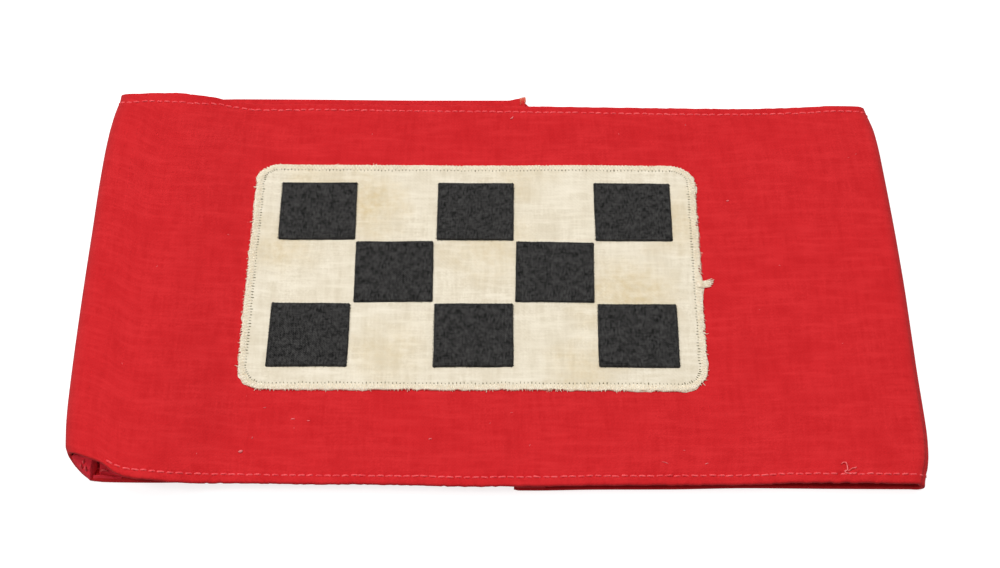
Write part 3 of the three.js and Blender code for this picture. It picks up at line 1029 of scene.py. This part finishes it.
def panel_border():
    """The flat zigzag that holds the panel's edge down, and short dark strokes along its inner side: painted
    shade in the needle holes.
    """
    rng = np.random.default_rng(RANDOM_SEED + 3)
    count = int(EDGE_LENGTH / ZIGZAG_PITCH)
    along = np.arange(count) * EDGE_LENGTH / count
    outer, inward = rounded_outline(along, -0.10)
    inner, inner_way = rounded_outline(along + ZIGZAG_PITCH / 2, BORDER_WIDTH)
    outer = outer + inward * rng.uniform(-0.15, 0.20, count)[:, None]
    inner = inner + inner_way * rng.uniform(-0.12, 0.12, count)[:, None]
    following = np.roll(outer, -1, axis=0)
    paths = []
    rises = {0.0: -0.15, 0.1: 0.0, 0.35: 0.03, 0.65: 0.03, 0.9: 0.0, 1.0: -0.15}
    for start, end in ((outer, inner), (inner, following)):
        steps = [on_panel(start + (end - start) * t, rise) for t, rise in rises.items()]
        paths.append(np.stack(steps, 1))
    threads = tubes("panel_edge_stitches", np.concatenate(paths), BORDER_THREAD, CREAM_THREAD)
    # Short dark strokes just over the cloth: painted shade inside the needle holes
    reach = rng.uniform(0.14, 0.42, count)[:, None]
    shade_stroke_points = [on_panel(inner + inner_way * (0.05 + t * reach), 0.035) for t in (-1.0, -0.4, 0.4, 1.0)]
    wide = rng.uniform(0.06, 0.14, count)[:, None] * np.array([0.4, 1.0, 1.0, 0.4])
    hole_shade_strokes = tubes("panel_painted_hole_shade", np.stack(shade_stroke_points, 1), wide, HOLE_SHADE)
    return [threads, hole_shade_strokes]


def yarn_paths(rng, lengths, distances):
    """Yarn ends that stick out of the panel's edge, at distances along it."""
    root, inward = rounded_outline(distances, 0.25)
    count = len(distances)
    turn = rng.normal(0.0, 0.5, count)
    out = -inward
    way = np.stack([out[:, 0] * np.cos(turn) - out[:, 1] * np.sin(turn),
                    out[:, 0] * np.sin(turn) + out[:, 1] * np.cos(turn)], -1)
    bend = rng.uniform(-0.25, 0.25, count) * lengths
    paths = []
    for t in np.linspace(0, 1, 7):
        aside = np.stack([-way[:, 1], way[:, 0]], -1) * (bend * t * t)[:, None]
        spot = root + way * (t * lengths)[:, None] + aside
        x, y = spot.T
        inside = smooth((edge_distance(x, y) + 0.25) / 0.4)
        paths.append(above_front(PANEL_X + x, PANEL_Y + y, 0.12 + 0.28 * inside + 0.1 * np.sin(math.pi * t)))
    return np.stack(paths, 1)


def frayed_edge():
    """Short yarn ends all round, more of them on the left and the upper right."""
    rng = np.random.default_rng(RANDOM_SEED + 6)
    right_side = STRAIGHT_X + CORNER_ARC
    left_side = right_side + STRAIGHT_Y + STRAIGHT_X + 2 * CORNER_ARC
    distances = np.concatenate([
        rng.uniform(0, EDGE_LENGTH, 420),
        left_side + rng.uniform(0, STRAIGHT_Y, 80),
        right_side + rng.uniform(STRAIGHT_Y * 0.45, STRAIGHT_Y, 80),
    ])
    lengths = 0.28 + rng.gamma(1.6, 0.13, len(distances))
    paths = yarn_paths(rng, lengths, distances)
    radius = np.linspace(1.0, 0.6, paths.shape[1]) * EDGE_YARN
    return tubes("panel_frayed_edge", paths, radius, CREAM_THREAD)


TUFT_AT = (PANEL_WIDTH / 2, -3.5)  # from the panel's middle


def torn_tuft():
    """A torn tongue of the panel's cloth on its right edge: loosely woven yarns that fan out a little."""
    rng = np.random.default_rng(RANDOM_SEED + 7)
    paths = []
    for across in np.linspace(-0.9, 0.9, 12):
        length = 2.5 + 0.4 * across + rng.uniform(-0.4, 0.3)
        t = np.linspace(0, 1, 9)
        out = -1.2 + t * (length + 1.2)
        side = across * (1 + 0.12 * t) + 0.75 * t * t + rng.uniform(-0.22, 0.22) * t * t
        weave = 0.07 * np.sin(out * 7 + (across > 0) * 1.5 + rng.uniform(0, 1))
        paths.append(tuft_path(out, side, 0.16 + weave))
    for out_at in np.linspace(-0.9, 1.9, 11):
        half = 1.0 - 0.12 * abs(out_at - 0.6) + rng.uniform(-0.12, 0.15)
        across = np.linspace(-half, half, 9)
        lean = 0.75 * (max(out_at + 1.2, 0) / 4.3) ** 2
        out = out_at - 0.1 * across + rng.uniform(-0.06, 0.06, 9)
        paths.append(tuft_path(out, across + lean, 0.2 + 0.06 * np.sin(across * 9 + out_at * 5)))
    return tubes("panel_torn_tuft", paths, TUFT_YARN, CREAM_THREAD)


def tuft_path(out, side, rise):
    """A yarn of the tuft, by how far it reaches out of the panel and how far it lies along the edge."""
    inside = PANEL_LIFT + PANEL_CLOTH * smooth((0.5 - out) / 0.8)
    return above_front(PANEL_X + TUFT_AT[0] + out, PANEL_Y + TUFT_AT[1] + side, inside + rise)


# The squares

def check_centres():
    for row in range(CHECK_ROWS):
        for column in range(CHECK_COLUMNS):
            if (row + column) % 2 == 0:
                x, y = column - (CHECK_COLUMNS - 1) / 2, row - (CHECK_ROWS - 1) / 2
                yield x * CHECK_PITCH, y * CHECK_PITCH


def square_face(local_x, local_y, centre, angle, seed):
    """Place and height of a square's upper face, from its own coordinates."""
    c, s = math.cos(angle), math.sin(angle)
    x = centre[0] + c * local_x - s * local_y
    y = centre[1] + s * local_x + c * local_y
    half = CHECK_SIZE / 2
    edge = np.minimum(half - np.abs(local_x), half - np.abs(local_y))
    turned = 0.10 * smooth((2.6 - edge) / 0.8) * smooth(edge / 0.4)
    line = -0.07 * bell(edge - 0.55, 0.18)
    wave = 0.07 * field(local_x, local_y, 5, seed) + 0.04 * field(local_x, local_y, 1.6, seed + 20)
    cloth = (TWILL_CLOTH - 0.15) * smooth((edge + 0.25) / 0.45)
    return x, y, panel_face(x, y) + TWILL_LIFT + cloth + turned + line + wave


def check_square(index, centre):
    """A square of twill with a slightly bowed outline, turned by a fraction of a degree."""
    rng = np.random.default_rng(RANDOM_SEED + 40 + index)
    angle = math.radians(rng.uniform(-0.8, 0.8))
    half = CHECK_SIZE / 2
    edge = np.array([0.0, 0.1, 0.22, 0.38, 0.55, 0.72, 0.95])
    line = np.concatenate([-half + edge, np.linspace(-half + 1.3, half - 1.3, 34), half - edge[::-1]])
    gx, gy = np.meshgrid(line, line)
    lx, ly = round_corners(gx, gy, half, half, TWILL_CORNER)
    bow = 0.14 * field(lx, ly, 7, 60 + index) + 0.05 * field(lx, ly, 1.6, 50 + index)
    bow = bow * np.maximum(np.abs(lx), np.abs(ly)) / half
    lx, ly = lx * (1 + bow / half), ly * (1 + bow / half)
    x, y, top = square_face(lx, ly, centre, angle, 80 + index)
    bottom = panel_face(x, y) + 0.03
    made = layer_object(f"check_{index}", x, y, top, bottom, (PANEL_X, PANEL_Y), BLACK)
    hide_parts(f"check_square_{index}")
    return made, angle


def square_stitches(squares):
    """Whipped stitches round each square, in dark thread."""
    rng = np.random.default_rng(RANDOM_SEED + 5)
    half = CHECK_SIZE / 2
    count = int(CHECK_SIZE / WHIP_PITCH)
    along = (np.arange(count) + 0.5) * CHECK_SIZE / count - half
    paths = []
    for index, (centre, angle) in enumerate(squares, 1):
        for side in range(4):
            jitter = rng.uniform(-0.14, 0.14, (3, count))
            steps = []
            for t, rise in ((0.0, -0.10), (0.15, 0.04), (0.5, 0.07), (0.85, 0.04), (1.0, -0.15)):
                inset = -0.08 + 0.5 * jitter[0] + t * (0.55 + jitter[1])
                a = along + jitter[2] + (t - 0.5) * 0.25
                u, v = [(a, -half + inset), (half - inset, a), (-a, half - inset), (-half + inset, -a)][side]
                x, y, z = square_face(u, v, centre, angle, 80 + index)
                steps.append(np.stack([PANEL_X + x, PANEL_Y + y, z + rise], -1))
            paths.append(np.stack(steps, 1))
    return tubes("square_edge_stitches", np.concatenate(paths), WHIP_THREAD, DARK_THREAD)


# Floor, lights and camera

def floor():
    n = Nodes("pale_floor")
    n.set({"Base Color": (0.5, 0.5, 0.5, 1.0), "Roughness": 0.9, "Specular IOR Level": 0.0})
    n.set({"Emission Color": (1.0, 1.0, 1.0, 1.0), "Emission Strength": 0.8})
    mesh = bpy.data.meshes.new("floor")
    half = 6.0  # metres
    low = -0.02 * MM  # just under the cloth, so that the two faces don't coincide
    corners = [(-half, -half, low), (half, -half, low), (half, half, low), (-half, half, low)]
    mesh.from_pydata(corners, [], [(0, 1, 2, 3)])
    mesh.materials.append(n.material)
    made = bpy.data.objects.new("floor", mesh)
    bpy.context.scene.collection.objects.link(made)
    made.visible_diffuse = False  # the white floor doesn't fill the shaded rims with its light


def stand(made, across, up, back, place):
    """Puts a light or a camera in the scene, by its three axes and its place."""
    made.matrix_world = Matrix(np.stack([across, up, back, place], -1).tolist() + [[0, 0, 0, 1]])
    bpy.context.scene.collection.objects.link(made)


def area_light(name, place, size, watts):
    """A round soft light that points at the middle of the part."""
    light = bpy.data.lights.new(name, "AREA")
    light.shape = "DISK"
    light.size = size
    light.energy = watts
    back = np.array(place) / np.linalg.norm(place)
    side = np.cross([0.0, 1.0, 0.01], back)
    side /= np.linalg.norm(side)
    stand(bpy.data.objects.new(name, light), side, np.cross(back, side), back, place)


def lighting():
    world = bpy.data.worlds.new("studio")
    world.use_nodes = True
    sky = world.node_tree.nodes["Background"].inputs
    sky["Color"].default_value = (1.0, 1.0, 1.0, 1.0)
    sky["Strength"].default_value = 0.3
    bpy.context.scene.world = world
    area_light("key", (-0.40, 0.42, 1.4), size=1.2, watts=11.4)
    area_light("fill", (0.6, 0.25, 1.45), size=1.4, watts=7.9)
    area_light("side", (-0.85, -0.45, 1.15), size=0.35, watts=5.4)


def camera():
    """The camera at the photograph's viewing angle."""
    c, s = math.cos(CAMERA_YAW), math.sin(CAMERA_YAW)
    ce, se = math.cos(CAMERA_ELEVATION), math.sin(CAMERA_ELEVATION)
    across = np.array([c, s, 0.0])
    up = np.array([-s * se, c * se, ce])
    back = np.array([s * ce, -c * ce, se])
    cr, sr = math.cos(CAMERA_ROLL), math.sin(CAMERA_ROLL)
    right_axis = cr * across + sr * up
    up_axis = -sr * across + cr * up
    place = (np.array(CAMERA_TARGET) + back * CAMERA_DISTANCE) * MM
    data = bpy.data.cameras.new("camera")
    data.sensor_width = SENSOR
    data.lens = LENS
    made = bpy.data.objects.new("camera", data)
    stand(made, right_axis, up_axis, back, place)
    bpy.context.scene.camera = made


camera()
lighting()
floor()
bpy.context.scene.view_settings.view_transform = "Standard"

band_piece = band()
stitch_piece = all_hem_stitches()
tuck_pieces = [corner_tuck(), mouth_pleat(), tuck_stitches()]
seam_pieces = seam_allowances() + [seam_fray()]
loose_pieces = [loose_thread(), lint()]
panel_piece = panel()
edge_pieces = panel_border() + [frayed_edge(), torn_tuft()]
squares = []
for number, middle_point in enumerate(check_centres(), 1):
    square, tilt = check_square(number, middle_point)
    squares.append((middle_point, tilt))
whip_piece = square_stitches(squares)
